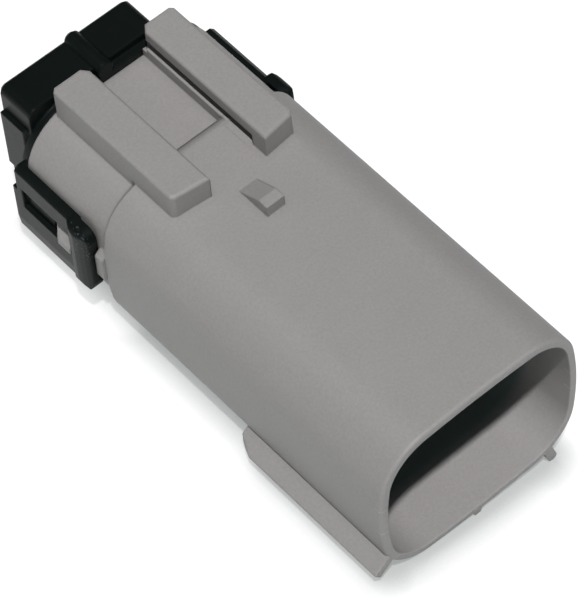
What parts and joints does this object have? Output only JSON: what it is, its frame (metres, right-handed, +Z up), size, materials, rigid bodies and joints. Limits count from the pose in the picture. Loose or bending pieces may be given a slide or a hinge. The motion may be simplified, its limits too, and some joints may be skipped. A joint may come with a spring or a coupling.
{
  "type": "sealed wire connector",
  "caption": "Sealed blade-side wire connector: oval shroud with keys, clip rails and a lock wedge, rear cap with side latches, wire seal, sliding retainer and flat blades.",
  "frame": {"origin": "centre of the mating mouth, in the plane of the shroud's front rim", "axes": "+Y from the mouth back to the wire end, +Z up towards the clip rails, +X to the right seen from the mouth"},
  "size_m": [0.0274, 0.0584, 0.024],
  "materials": {
    "housing_plastic": "fine satin moulding texture, warm grey",
    "cap_plastic": "satin black with soft highlights",
    "seal_rubber": "soft silicone",
    "retainer_plastic": "satin natural white",
    "terminal_metal": "tin plated, satin"
  },
  "bodies": {
    "connector": {"housing": "housing_plastic", "rear_cap": "cap_plastic", "wire_seal": "seal_rubber", "terminal_1": "terminal_metal", "terminal_2": "terminal_metal", "terminal_3": "terminal_metal", "terminal_4": "terminal_metal", "terminal_5": "terminal_metal", "terminal_6": "terminal_metal", "terminal_7": "terminal_metal", "terminal_8": "terminal_metal"},
    "lock": {"retainer": "retainer_plastic"}
  },
  "joints": [
    {"name": "retainer_slide", "type": "slide", "parent": "connector", "child": "lock", "axis": [0, -1, 0], "range_m": [0, 0.0016]}
  ]
}
